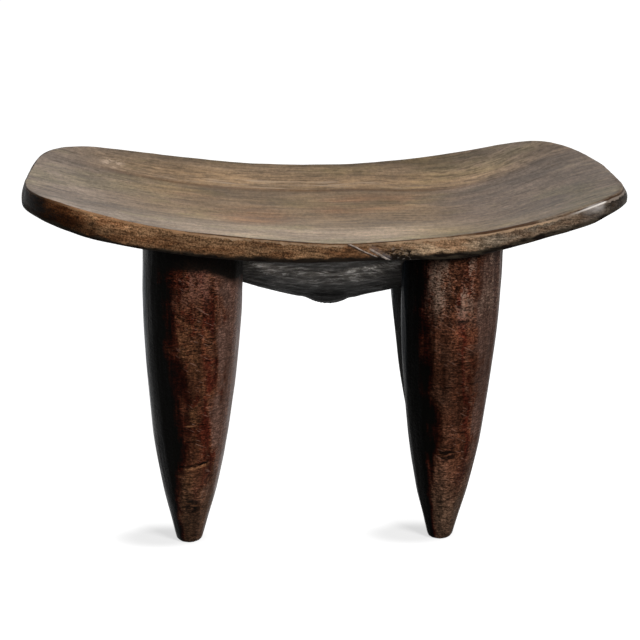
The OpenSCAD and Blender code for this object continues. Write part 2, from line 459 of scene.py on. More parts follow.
def scratched_lip(w, place, over, look):
    """The lip: scratched brown wood, pale right of the middle, grey at its right end with a painted highlight,
    and near black at its left from smoke and painted shade.
    """
    x, y, _ = w.parts(place)
    wood, film = plain(look.lip), plain(look.film)
    tilted = w.vector("ADD", place, w.join(0.0, 0.0, w.times(x, 0.10)))
    scratches = w.noise(tilted, (110.0, 110.0, 620.0), detail=4, rough=0.70)
    patches = w.noise(place, (26.0, 40.0, 80.0), detail=4, rough=0.65)
    grit = w.noise(place, (560.0, 560.0, 680.0), detail=3, rough=0.75)
    upright = w.noise(place, (150.0, 60.0, 20.0), detail=3, rough=0.6)
    pits = w.span(w.noise(place, (120.0, 150.0, 190.0), detail=3, rough=0.6), 0.32, 0.40, 0.65, 0.0)
    pits = w.times(pits, w.span(over, 0.003, 0.012, 0.35, 1.0))

    # The lip's colours from left to right.
    lip = w.mix(w.span(patches, 0.38, 0.60), w.tinge(wood, (0.86, 0.72, 0.64)), wood)
    lip = w.scale(lip, w.times(w.span(x, -0.225, -0.140, 2.20, 1.01), w.span(x, 0.030, 0.100, 1.0, 1.06),
                               w.span(x, 0.150, 0.200, 1.0, 0.90)))
    lip = w.mix(w.span(x, 0.030, 0.100), lip, w.tinge(lip, (2.15, 2.65, 3.20)))
    lip = w.mix(w.span(x, 0.122, 0.165), lip, w.tinge(lip, (0.47, 0.52, 0.60)))
    greyer = w.scale(film, w.span(patches, 0.38, 0.60, 0.085, 0.235))
    lip = w.mix(w.span(x, 0.225, 0.275, 0.0, 0.85), lip, greyer)
    lip = w.scale(lip, w.span(x, 0.272, 0.280, 1.0, 0.50))

    def halves(left, right):
        """One number left of the middle and another right of it."""
        return w.span(x, 0.0, 0.06, left, right)

    # Scratches, grit and patches, weaker right of the middle, darker low down where the lip rounds under
    # (partly soot, partly painted shade), and small dark pits.
    under = w.times(w.span(x, -0.225, -0.160, 0.42, 0.98), w.span(x, 0.060, 0.110, 1.0, 0.85))
    lip = w.scale(lip, w.times(
        w.mottle(scratches, 0.52, 1.52), w.mottle(grit, halves(0.36, 0.56), halves(1.70, 1.46)),
        w.mottle(patches, halves(0.74, 0.88), halves(1.26, 1.12), 0.36, 0.64),
        w.span(over, 0.0050, 0.0150, w.span(x, -0.200, -0.140, 1.06, 0.72), under)))
    lip = w.mix(pits, lip, dim(wood, 0.14))

    # The rubbed facet at the right end, its pale grey partly a painted highlight, and at the left end smoke
    # with painted shade and grey upright streaks of painted sheen.
    facet = w.times(w.span(x, 0.245, 0.257), w.span(x, 0.268, 0.274, 1.0, 0.0), w.span(over, 0.0002, 0.0010),
                    w.span(over, 0.0030, 0.0120, 1.0, 0.10), w.span(y, -0.060, -0.040, 1.0, 0.0))
    lip = w.mix(w.times(facet, w.span(patches, 0.36, 0.54, 0.5, 1.0)), lip, plain(look.facet))
    # Smoke and painted shade darken the lip's left end.
    smoke = w.total(x, w.swing(patches, 0.030))
    lip = w.mix(w.span(smoke, -0.256, -0.206, 1.0, 0.0), lip, w.tinge(lip, (0.26, 0.18, 0.13)))
    soot_and_shade = w.span(smoke, -0.276, -0.262, w.span(patches, 0.46, 0.56, 1.0, 0.80), 0.0)
    lip = w.mix(soot_and_shade, lip, plain(look.soot))
    # A painted sheen: grey upright streaks on the outermost left end.
    end_sheen = w.times(w.span(x, -0.300, -0.291, 0.85, 0.0), w.span(upright, 0.42, 0.58))
    lip = w.mix(end_sheen, lip, plain(look.end_sheen_streaks))
    height = w.less(w.total(w.times(scratches, 0.8), w.times(grit, 0.2)), w.times(pits, 0.9))
    return lip, height, facet


def saddle_wood(look):
    """The seat's wood: a banded top, a scratched lip, a worn crease between them and an underside darkened by
    smoke and painted shade.
    """
    material, w, shader, place = wood_material("Saddle wood")
    x, y, _ = w.parts(place)
    over = w.mark("over_lip").outputs["Fac"]
    top, top_relief = banded_top(w, place, look)
    lip, lip_relief, facet = scratched_lip(w, place, over, look)

    # Along the front, a dark broken seam on the rolled edge, wider at the right.
    wander = w.swing(w.noise(place, (24.0, 40.0, 40.0), detail=3), 0.004)
    chipped = w.swing(w.noise(place, (150.0, 110.0, 150.0), detail=3, rough=0.65), 0.008)
    crease = w.less(w.total(over, wander), w.span(x, 0.12, 0.19, 0.0, 0.0018))
    front = w.span(y, -0.075, -0.040, 1.0, 0.0)
    whole = w.mix(w.span(crease, -0.0012, 0.0002), top, lip)
    breaks = w.span(w.noise(place, (26.0, 26.0, 26.0), detail=3), 0.38, 0.54, 0.35, 1.0)
    seam = w.times(w.span(over, -0.0060, -0.0010), w.span(crease, 0.0010, 0.0018, 1.0, 0.0), front, breaks)
    seam = w.times(seam, w.span(x, -0.140, -0.110, 0.25, 1.0), w.span(x, 0.19, 0.24, 1.0, 0.70))
    whole = w.mix(w.times(seam, 0.92), whole, plain(look.seam))

    # Below the seam, a light worn line that is chipped, and a painted highlight on a stretch of it at the
    # right end.
    lower = w.span(x, -0.150, -0.090, 0.0, 0.0010)
    worn = w.times(w.span(w.less(crease, lower), 0.0, 0.0008),
                   w.span(w.less(w.total(crease, chipped), lower), 0.0020, 0.0030, 1.0, 0.0))
    gaps = w.noise(place, (30.0, 30.0, 30.0), detail=3)
    worn = w.times(worn, w.span(gaps, 0.38, 0.56, w.span(x, -0.150, -0.090, 0.75, 0.30), 0.95))
    worn = w.times(worn, w.span(x, -0.275, -0.235, 0.12, 1.0), front)
    light = w.mix(w.span(x, -0.150, -0.090), dim(look.lip, 2.10),
                  w.tinge(plain(look.lip), (2.10, 2.50, 3.00)))
    light = w.mix(w.span(x, 0.20, 0.25), light, dim(look.film, 0.7))
    whole = w.mix(worn, whole, light)
    shine = w.times(w.span(crease, 0.0006, 0.0012), w.span(crease, 0.0018, 0.0030, 1.0, 0.0),
                    w.span(x, 0.234, 0.257), w.span(x, 0.270, 0.276, 1.0, 0.0),
                    w.span(breaks, 0.3, 1.0, 0.60, 1.0))
    whole = w.mix(w.times(shine, w.span(y, -0.060, -0.030, 1.0, 0.0)), whole, plain(look.shine))

    # The lip meets the underside along a ragged line. Below it the wood is near black, partly soot and partly
    # painted shade under the seat's edge, darkest at mid-length above the belly.
    ragged = w.total(w.mark("past_hem").outputs["Fac"],
                     w.swing(w.noise(place, (60.0, 60.0, 60.0), detail=4), 0.010),
                     w.times(w.span(x, -0.110, -0.050, 0.0, 0.0019), w.span(x, 0.220, 0.260, 1.0, 0.5)))
    soot_and_shade = w.span(w.noise(place, (45.0, 45.0, 170.0), detail=4, rough=0.6), 0.42, 0.58, 1.0, 0.25)
    soot_and_shade = w.math("MAXIMUM", soot_and_shade, w.span(over, 0.0215, 0.0260, 0.0, 0.85))
    middle = w.spot(place, (-0.015, 0.0, 0.0), (0.130, 0.0, 0.0), 0.5)
    below = w.mix(soot_and_shade, w.mix(middle, plain(look.hem), plain(look.shaded_hem_middle)), plain(look.soot))
    whole = w.mix(w.span(ragged, -0.0038, 0.0002), whole, below)
    whole, scar = heal_crack(w, place, over, whole, look)
    w.feed(shader.inputs["Base Color"], whole)

    on_lip = w.span(over, -0.001, 0.002)
    rough = w.less(w.span(top_relief, 0.40, 0.56, 0.36, 0.50, soft=False), w.times(facet, 0.20))
    w.feed(shader.inputs["Roughness"], w.total(rough, w.span(over, 0.012, 0.020, 0.0, 0.25)))
    shader.inputs["Specular IOR Level"].default_value = 0.02
    height = w.total(w.times(top_relief, w.less(1.0, on_lip)), w.times(lip_relief, on_lip))
    w.feed(shader.inputs["Normal"], relief(w, w.less(height, scar), 0.0010, 0.8))
    return material


# The healed crack's two scars on the front lip: start and end, along the seat and up, and half the width.
SCARS = (((0.0215, 0.3420), (0.0505, 0.3285), 0.0004), ((0.0430, 0.3370), (0.0635, 0.3245), 0.0007))


def heal_crack(w, place, over, whole, look):
    """The healed crack in the front lip: two thin pale scars, with grey wood above the second and swirls."""
    x, y, z = w.parts(place)
    front = w.times(w.span(y, -0.150, -0.135, 1.0, 0.0), w.span(over, 0.0002, 0.0012))
    swirl = w.noise(place, (95.0, 40.0, 210.0), detail=4, rough=0.62, warp=2.0)
    patch = w.times(w.spot(place, (0.0725, 0.0, 0.3310), (0.0250, 0.0, 0.0095), 0.5), front)
    whole = w.mix(w.times(patch, w.span(swirl, 0.47, 0.55, 1.0, 0.45)), whole, dim(look.soot, 1.4))
    whole = w.mix(w.times(patch, w.span(swirl, 0.56, 0.64, 0.0, 0.80)), whole, plain(look.swirl))
    glint = w.span(w.noise(place, (240.0, 60.0, 420.0), detail=3, rough=0.65), 0.42, 0.58, 0.45, 1.0)
    sway = w.swing(w.noise(place, (60.0, 0.0, 60.0)), 0.0030)
    scar = None
    for (start_x, start_z), (end_x, end_z), half in SCARS:
        turn = math.atan2(end_z - start_z, end_x - start_x)
        long = math.hypot(end_x - start_x, end_z - start_z)
        side, lift = w.less(x, start_x), w.less(z, start_z)
        along = w.total(w.times(side, math.cos(turn)), w.times(lift, math.sin(turn)))
        off = w.total(w.less(w.times(lift, math.cos(turn)), w.times(side, math.sin(turn))), sway)
        reach = w.times(w.span(along, -0.002, 0.003), w.span(along, long - 0.003, long + 0.001, 1.0, 0.0),
                        front)
        if scar:
            # Grey wood above the second scar.
            haze = w.times(w.span(off, 0.0, 0.0010), w.span(off, 0.0022, 0.0060, 1.0, 0.0), reach,
                           w.span(swirl, 0.40, 0.60, 0.15, 0.75))
            whole = w.mix(haze, whole, plain(look.haze))
        groove = w.times(w.span(off, -0.0024, -0.0012), w.span(off, -0.0008, 0.0002, 1.0, 0.0), reach, 0.80)
        whole = w.mix(groove, whole, dim(look.soot, 3.0))
        streak = w.times(w.span(w.math("ABSOLUTE", off), half * 0.8, half * 1.9, 1.0, 0.0), reach, glint)
        whole = w.mix(w.times(streak, w.span(along, 0.0, long, 0.60, 1.0)), whole, plain(look.scar))
        scar = w.math("MAXIMUM", scar, groove) if scar else groove
    return whole, scar


def smoked_wood(look):
    """The belly's wood: grey charcoal with short scraped streaks, with painted light high up and painted shade
    beside the legs and under the seat.
    """
    material, w, shader, place = wood_material("Smoked belly wood")
    x, y, z = w.parts(place)

    # The streaks run along the log, level on a line that rises to the front and the rear as the belly does.
    drift = w.vector("SUBTRACT", w.noise(place, (14.0, 26.0, 26.0), detail=3, colour=True), (0.5, 0.5, 0.5))
    climb = w.times(w.math("SQRT", w.total(w.times(y, y), 0.0009)), 0.33)
    level = w.join(x, w.times(y, 0.05), w.less(z, climb))
    bent = w.vector("ADD", level, w.vector("MULTIPLY", drift, (0.0, 0.0, 0.010)))
    broad = w.noise(bent, (28.0, 12.0, 260.0), detail=5, rough=0.68)
    fine = w.noise(bent, (75.0, 40.0, 640.0), detail=4, rough=0.72)
    clouds = w.noise(place, (16.0, 34.0, 34.0), detail=4, rough=0.6)
    whole = w.mix(w.span(broad, 0.38, 0.58), plain(look.soot), plain(look.char))
    scraped = w.times(w.span(fine, 0.50, 0.60), w.span(broad, 0.44, 0.58, 0.15, 1.0),
                      w.span(clouds, 0.40, 0.58, 0.35, 0.95))
    whole = w.mix(scraped, whole, plain(look.bare))

    # Painted light and shade: paler towards the seat, and darker beside the legs.
    high = w.span(z, 0.250, 0.302, soft=False)
    whole = w.scale(whole, w.times(
        w.mottle(clouds, 0.68, 1.30), w.mottle(fine, 0.55, 1.45, 0.40, 0.60),
        w.total(w.times(high, high, 4.6), 0.14), w.span(x, -0.084, -0.060, 0.45, 1.0),
        w.span(x, 0.052, 0.078, 1.0, 0.35)))
    # Painted shade: near black in a line just under the seat.
    whole = w.mix(w.span(z, 0.303, 0.311, 0.0, 0.9), whole, plain(look.soot))
    w.feed(shader.inputs["Base Color"], whole)
    w.feed(shader.inputs["Roughness"], w.span(fine, 0.3, 0.7, 0.58, 0.42, soft=False))
    shader.inputs["Specular IOR Level"].default_value = 0.01
    height = w.total(w.times(broad, 0.8), w.times(fine, 0.5))
    w.feed(shader.inputs["Normal"], relief(w, height, 0.0020, 0.9))
    return material


def leg_wood(look):
    """The legs' wood: smoke and painted shade on the flanks that face left, rubbed in front, greyed on the
    right flanks.
    """
    material, w, shader, place = wood_material("Leg wood")
    mahogany, wine, film, soot = plain(look.mahogany), plain(look.wine), plain(look.film), plain(look.soot)
    x, _, z = w.parts(place)
    turn_x, _, rise = w.parts(w.mark("stock").outputs["Vector"])
    at_right = w.span(x, -0.05, 0.05)

    def sides(left, right):
        """One number for the two left legs and another for the two right ones."""
        return w.span(at_right, 0.0, 1.0, left, right)

    threads = w.noise(place, (170.0, 170.0, 13.0), detail=4, rough=0.62, warp=0.3)
    flutes = w.noise(place, (75.0, 75.0, 9.0), detail=3, rough=0.55, warp=0.3)
    blots = w.noise(place, (55.0, 55.0, 24.0), detail=5, rough=0.66, warp=0.6)
    ticks = w.noise(place, (125.0, 125.0, 620.0), detail=2, rough=0.6)
    crackle = w.noise(place, (300.0, 300.0, 330.0), detail=3, rough=0.7, warp=0.8)
    clouds = w.noise(place, (15.0, 15.0, 24.0), detail=4, rough=0.6)
    grit = w.noise(place, (380.0, 380.0, 820.0), detail=3, rough=0.72)
    scuffs = w.noise(place, (330.0, 330.0, 210.0), detail=4, rough=0.7, warp=1.0)

    # Colours from the left flank over the front to the right flank, with wavering borders. The near black of
    # the left flank is partly smoke and partly painted shade.
    sway = w.total(w.swing(threads, 0.35), w.swing(flutes, 0.55), w.swing(clouds, 0.75),
                   w.swing(blots, 0.40))
    low = w.times(w.span(z, 0.040, 0.080), w.span(z, 0.130, 0.185, 1.0, 0.0))
    nudge = w.less(w.times(at_right, w.span(z, 0.190, 0.240), 0.15), w.times(low, 0.12))
    waisted = w.times(w.span(z, 0.095, 0.130), w.span(z, 0.170, 0.240, 1.0, 0.0), sides(0.20, 0.0),
                      w.span(turn_x, -0.05, 0.50, 1.0, 0.10))
    turned = w.less(w.total(turn_x, nudge), waisted)
    bearing = w.total(turned, sway)
    whole = w.ramp(w.span(bearing, -1.0, 1.0, soft=False), [
        (0.00, soot), (0.20, soot), (0.27, dim(wine, 0.6)), (0.36, dim(mahogany, 0.70)), (0.50, mahogany),
        (0.60, mahogany), (0.67, dim(wine, 1.2)), (0.75, dim(mahogany, 0.9)), (0.84, film),
        (1.00, dim(film, 0.8))])
    bright = w.mix(at_right, dim(look.ember, 0.86), plain(look.ember_right))
    dark = w.mix(at_right, wine, plain(look.wine_right))
    front = w.times(w.span(bearing, -0.50, -0.20), w.span(bearing, 0.45, 0.66, 1.0, 0.0))
    glow = w.times(w.span(bearing, -0.36, -0.12), w.span(bearing, -0.02, 0.18, 1.0, 0.0))
    whole = w.mix(w.times(glow, w.span(clouds, 0.40, 0.60, 0.10, 0.70)), whole, bright)
    whole = w.mix(w.times(front, w.span(blots, 0.48, 0.66, 0.0, 0.45)), whole, bright)
    whole = w.mix(w.times(front, w.span(blots, 0.36, 0.49, 0.85, 0.0)), whole, dark)

    # Flutes and threads along the leg, fine wrinkles across it, and crackle and grit, stronger near the top.
    wrinkled = w.swing(ticks, w.span(clouds, 0.36, 0.60, 1.6, 4.2))
    shading = w.times(
        w.mottle(flutes, 0.66, 1.32), w.mottle(threads, 0.76, 1.24), w.total(1.0, wrinkled),
        w.mottle(crackle, w.span(z, 0.220, 0.265, 0.64, 0.42), w.span(z, 0.220, 0.265, 1.38, 1.62),
                 0.40, 0.60),
        w.mottle(grit, w.span(z, 0.200, 0.260, 0.45, 0.20), w.span(z, 0.200, 0.260, 1.60, 1.90),
                 0.40, 0.60))
    calm = w.span(bearing, 0.45, 0.66, 1.0, 0.60)
    shading = w.math("MAXIMUM", w.total(1.0, w.times(w.less(shading, 1.0), calm)), 0.10)
    neck = w.span(bearing, 0.35, 0.60, w.span(z, 0.235, 0.270, 0.90, 0.68), 1.02)
    shading = w.times(shading, w.span(bearing, 0.45, 0.66, 1.0, sides(1.08, 0.78)), sides(neck, 1.0))
    whole = w.scale(whole, shading)
    tilted = w.vector("ADD", place, w.join(0.0, 0.0, w.times(x, 0.55)))
    scratch = w.span(w.noise(tilted, (80.0, 80.0, 520.0), detail=2), 0.64, 0.69)
    whole = w.mix(w.times(scratch, front, 0.55), whole, dim(film, 3.0))

    # Patchy dust with painted highlights near the top, a dark waist on the front right leg, worn feet, near
    # black on the left flanks from smoke and painted shade, and a painted reflection along their left edge.
    patchy = w.total(w.times(scuffs, 0.35), w.total(w.times(flutes, 0.60), w.times(blots, 0.30)),
                     w.times(grit, 0.25))
    # Dust that is partly a painted highlight, lighter where the leg's shading is lighter.
    dust = w.times(w.span(z, sides(0.262, 0.242), sides(0.294, 0.280)),
                   w.span(bearing, sides(-0.45, -0.62), -0.15),
                   w.span(patchy, sides(0.74, 0.70), 0.84, 0.0, sides(0.75, 0.85)),
                   w.span(bearing, 0.35, 0.65, 1.0, 0.40))
    dusty_sheen = w.mix(at_right, plain(look.dust), plain(look.dust_and_sheen_right))
    whole = w.mix(dust, whole, w.scale(dusty_sheen, w.span(shading, 0.3, 1.7, 0.45, 1.55, soft=False)))
    whole = w.darken(whole, w.times(w.spot(place, (0.122, -0.130, 0.186), (0.060, 0.090, 0.060)), 0.45))
    foot = w.times(w.span(rise, 0.025, 0.115, 0.85, 0.0), w.span(bearing, -0.50, -0.20))
    whole = w.mix(foot, whole, w.scale(w.mix(at_right, plain(look.foot), plain(look.foot_right)), shading))
    left = w.total(turned, w.swing(clouds, 0.80), w.swing(threads, 0.70),
                   w.span(rise, 0.0, 0.100, 0.16, 0.0))
    whole = w.mix(w.span(left, -0.78, -0.24, 0.97, 0.0), whole, soot)
    # A painted reflection: a cool line along the far left edge of the flanks.
    polish = w.times(w.span(turn_x, -0.98, -0.88, 1.0, 0.0), w.span(z, 0.120, 0.260),
                     w.span(threads, 0.36, 0.60, 0.3, 1.0), sides(0.8, 0.2))
    whole = w.mix(polish, whole, plain(look.polish))

    # The seat's painted shadow, in soot colour, where the legs meet it. It comes further down the left legs,
    # most on their right flanks.
    seat_shadow = w.span(turn_x, sides(0.25, -0.20), 1.0)
    seat_shadow = w.total(z, w.times(seat_shadow, sides(0.018, -0.008)), w.times(sway, 0.012), sides(0.0035, -0.0025))
    whole = w.mix(w.span(seat_shadow, 0.3080, 0.3160, 0.0, 0.97), whole, soot)

    # A stop cut is a dark line over a pale ledge, a knot a nest of short cracks. Three nicks stand alone.
    above, window = w.mark("cut_above").outputs["Fac"], w.mark("cut_window").outputs["Fac"]
    above = w.total(above, w.swing(crackle, 0.0022))
    ledge = w.times(window, w.span(above, -0.0042, -0.0020), w.span(above, -0.0002, 0.0004, 1.0, 0.0))
    ledge = w.times(ledge, w.span(bearing, -0.44, -0.20), 0.80)
    whole = w.mix(ledge, whole, w.scale(dim(look.ember, 1.6), shading))
    line = w.times(window, w.span(above, -0.0002, 0.0004), w.span(above, 0.0012, 0.0026, 1.0, 0.0))
    whole = w.mix(w.times(line, w.span(blots, 0.40, 0.52, 0.95, 0.60)), whole, soot)
    knot = w.span(w.mark("knot_away").outputs["Fac"], 0.50, 1.0, 1.0, 0.0)
    cracks = w.noise(place, (100.0, 100.0, 400.0), detail=3, rough=0.6, warp=0.8)
    whole = w.mix(w.times(knot, w.span(cracks, 0.56, 0.64, 0.0, 0.55)), whole, dim(look.ember, 1.3))
    whole = w.mix(w.times(knot, w.span(cracks, 0.46, 0.53, 0.90, 0.10)), whole, soot)
    for nick_x, nick_z, wide, high, colour in (
            (-0.135, 0.1425, 0.0065, 0.0014, dim(look.ember, 2.0)), (0.121, 0.0490, 0.0060, 0.0024, soot),
            (0.136, 0.2530, 0.0150, 0.0040, soot)):
        nick = w.spot(place, (nick_x, -0.130, nick_z), (wide, 0.060, high), 0.3)
        whole = w.mix(w.times(nick, w.span(crackle, 0.36, 0.50, 0.95, 0.70)), whole, colour)
    w.feed(shader.inputs["Base Color"], whole)

    w.feed(shader.inputs["Roughness"], w.span(blots, 0.34, 0.66, 0.42, 0.30, soft=False))
    gloss = w.times(w.span(w.math("ABSOLUTE", turn_x), 0.84, 0.97), w.span(threads, 0.36, 0.60, 0.4, 1.0),
                    sides(0.11, 0.0))
    w.feed(shader.inputs["Specular IOR Level"], w.total(gloss, sides(0.012, 0.006)))
    height = w.total(w.times(ticks, 0.25), w.times(threads, 0.35), w.times(crackle, 0.50), flutes)
    w.feed(shader.inputs["Normal"], relief(w, w.less(height, w.total(knot, line)), 0.0016, 0.9))
    return material


def arc_radius(half_chord, rise):
    """Radius of the circle whose arc bows by the rise over the half chord."""
    return (half_chord ** 2 + rise ** 2) / (2 * rise)


def drum_height(seat, x, y, side_z, rise, crown):
    """Height of a surface that bows up to the seat's ends and sags across the seat by the crown."""
    drum_r = arc_radius(seat.length / 2, rise)
    crown_r = arc_radius(seat.depth / 2, crown)
    bow = drum_r + crown - crown_r + np.sqrt(np.maximum(crown_r ** 2 - y ** 2, 0))
    return side_z + drum_r - np.sqrt(np.maximum(bow ** 2 - x ** 2, 0))


def end_lift(seat, x, y):
    """Extra height near the seat's ends, a little more behind than in front at the right."""
    right = seat.right_lift * hump(x, 0.267, 0.065) * (1 + 0.3 * y / (seat.depth / 2))
    return right + seat.left_lift * hump(x, -0.290, 0.045)


def ease(value, low, high):
    """Goes smoothly from 0 to 1 as the value goes from low to high."""
    share = np.clip((value - low) / (high - low), 0, 1)
    return share * share * (3 - 2 * share)


def top_height(seat, x, y):
    """Height of the seat's dished top, with the brow that its front edge makes left of the middle."""
    brow = seat.brow_lift * ease(-y, 0.020, 0.145) * ease(x, -0.300, -0.255) * ease(-x, -0.030, 0.095)
    return drum_height(seat, x, y, seat.rim_height, seat.end_rise, seat.dish) + end_lift(seat, x, y) + brow


def under_height(seat, x, y):
    """Height of the seat's underside."""
    side_z = seat.rim_height - seat.edge_thickness
    return drum_height(seat, x, y, side_z, seat.under_rise, seat.under_crown) + end_lift(seat, x, y)


def lumps(points, stretch, seed=0.0):
    """Soft noise from -1 to 1 at each point, with 'stretch' features to the metre each way."""
    return np.array([noise.noise(Vector(p)) for p in points * np.array(stretch) + seed])


def scoops(points, stretch, seed=0.0):
    """Depth from 0 to 1 of overlapping adze cuts: 1 in the middle of a cut, 0 on the ridge between two."""
    near = np.array([noise.voronoi(Vector(p))[0][:2] for p in points * np.array(stretch) + seed])
    return 1 - (near[:, 0] / np.maximum(near[:, 1], 1e-6)) ** 2


def hump(value, middle, width):
    """A soft hump of height 1 over the middle."""
    return np.exp(-((value - middle) / width) ** 2)


def skin(name, rings, first_pole, last_pole, marks):
    """A closed smooth mesh over rings of points with a pole at each end, and the numbers that it carries."""
    count, around = rings.shape[:2]
    points = np.concatenate([[first_pole], rings.reshape(-1, 3), [last_pole]])
    here = np.arange(around)
    beside = (here + 1) % around
    last = len(points) - 1
    faces = [(0, 1 + a, 1 + b) for a, b in zip(here, beside)]
    for ring in range(count - 1):
        inner, outer = 1 + ring * around, 1 + (ring + 1) * around
        faces += zip(inner + here, outer + here, outer + beside, inner + beside)
    faces += [(last, last - around + b, last - around + a) for a, b in zip(here, beside)]
    mesh = bpy.data.meshes.new(name)
    mesh.from_pydata(points.tolist(), [], [tuple(int(v) for v in face) for face in faces])
    work = bmesh.new()
    work.from_mesh(mesh)
    bmesh.ops.recalc_face_normals(work, faces=work.faces)
    work.to_mesh(mesh)
    work.free()
    mesh.shade_smooth()
    for key, values in marks.items():
        mesh.attributes.new(key, "FLOAT", "POINT").data.foreach_set("value", values.astype(np.float32))
    piece = bpy.data.objects.new(name, mesh)
    bpy.context.scene.collection.objects.link(piece)
    return piece


def seat_outline(seat, count):
    """The seat's widest outline from above, anticlockwise and evenly spaced, with its outward directions."""
    turn = np.linspace(0, 2 * np.pi, 8001)
    c, s = np.cos(turn), np.sin(turn)
    behind, right = (s >= 0)[:, None], (c >= 0)[:, None]
    square = np.where(behind, np.where(right, seat.rear_right[:], seat.rear_left[:]),
                      np.where(right, seat.front_right[:], seat.front_left[:]))
    edge = np.where(s >= 0, 1.0, -1.0)
    x = np.sign(c) * seat.length / 2 * np.abs(c) ** (2 / square[:, 0])
    y = edge * (seat.depth / 2 + edge * seat.long_line) * np.abs(s) ** (2 / square[:, 1]) - seat.long_line
    y = y - seat.front_swell * hump(x, 0.158, 0.062) * (y < -seat.long_line)
    run = np.concatenate([[0], np.cumsum(np.hypot(np.diff(x), np.diff(y)))])
    even = np.linspace(0, run[-1], count + 1)[:-1]
    plan = np.stack([np.interp(even, run, x), np.interp(even, run, y)], 1)
    ahead = np.roll(plan, -2, 0) - np.roll(plan, 2, 0)
    out = np.stack([ahead[:, 1], -ahead[:, 0]], 1)
    out /= np.linalg.norm(out, axis=1, keepdims=True)
    for _ in range(4):
        out = (np.roll(out, 1, 0) + out + np.roll(out, -1, 0)) / 3
    return plan, out / np.linalg.norm(out, axis=1, keepdims=True)


# The rings of points over the seat: how many its top, the lip's wall and its underside have, the turns in
# degrees of those that round the crease and the hem, the innermost ring's share of the outline, and the
# stretches that a ring may belong to.
TOP_RINGS, WALL_RINGS, UNDER_RINGS = 54, 9, 41
CREASE_TURNS = (18, 36, 54, 72, 90)
HEM_TURNS = (15, 30, 45, 60, 75, 90)
INNERMOST = 0.02
TOP, LIP, UNDER = 0, 1, 2


def seat_rings(seat, around=560):
    """Rings of points over the seat, from the middle of its top over the lip to the middle underneath."""
    plan, out = seat_outline(seat, around)
    x, y = plan.T
    flat = np.column_stack([plan, np.zeros(around)])
    wobble = lumps(flat, (9, 9, 1), 3.0)
    quick = lumps(flat, (28, 28, 1), 11.0)
    end = np.clip((np.abs(x) - 0.215) / 0.075, 0, 1)
    facet = hump(x, 0.272, 0.030) * hump(y, -0.110, 0.055)
    crease_in = 0.0004 * (1 + wobble)
    crease_r = seat.crease_radius * (1 + 0.35 * wobble + 0.25 * quick) * (1 - 0.40 * end)
    hem_r = seat.hem_radius * (1 + 0.25 * wobble) * (0.65 + np.where(x > 0, -0.15, 0.45) * end)
    hem_in = 0.0005 - end * np.where(x > 0, seat.right_flare, seat.left_flare)
    bulge = 0.0010 + 0.0008 * quick

    # How far the hem lies above the plain underside: up at the thin ends, and down above the right leg.
    sag = 0.0009 * lumps(flat, (14, 14, 1), 23.0) + 0.0005 * quick
    sag = sag + seat.end_thinning * np.clip((np.abs(x) - 0.235) / 0.055, 0, 1)
    sag = sag - seat.hem_swell * hump(x, 0.140, 0.050) * (y < -seat.long_line)
    sag = sag + seat.right_thinning * np.clip((x - 0.262) / 0.032, 0, 1)

    rings, zone = [], []

    def ring(place, height, kind):
        rings.append(np.column_stack([place, height]))
        zone.append(kind)

    first = plan - out * (crease_in + crease_r)[:, None]
    for share in np.linspace(INNERMOST, 1.0, TOP_RINGS):
        place = first * share
        ring(place, top_height(seat, *place.T), TOP)
    for turn in np.radians(CREASE_TURNS):
        place = plan - out * (crease_in + crease_r * (1 - math.sin(turn)))[:, None]
        ring(place, top_height(seat, *place.T) - crease_r * (1 - math.cos(turn)), LIP)
    high = rings[-1][:, 2]
    hem_place = plan - out * (hem_in + hem_r)[:, None]
    low = under_height(seat, *hem_place.T) + sag + hem_r
    for share in np.linspace(0, 1, WALL_RINGS + 1)[1:]:
        lean = share ** (1 - 0.60 * facet)
        inset = crease_in * (1 - lean) + hem_in * lean - bulge * math.sin(math.pi * share)
        ring(plan - out * inset[:, None], high + (low - high) * share, LIP)
    for turn in np.radians(HEM_TURNS):
        inset = hem_in + hem_r * (1 - math.cos(turn))
        ring(plan - out * inset[:, None], low - hem_r * math.sin(turn), LIP)
    last = rings[-1][:, :2]
    for share in np.linspace(1, INNERMOST, UNDER_RINGS + 1)[1:]:
        place = last * share
        fade = max(0.0, (share - 0.75) / 0.25)
        ring(place, under_height(seat, *place.T) + sag * fade, UNDER)
    return np.array(rings), np.array(zone)


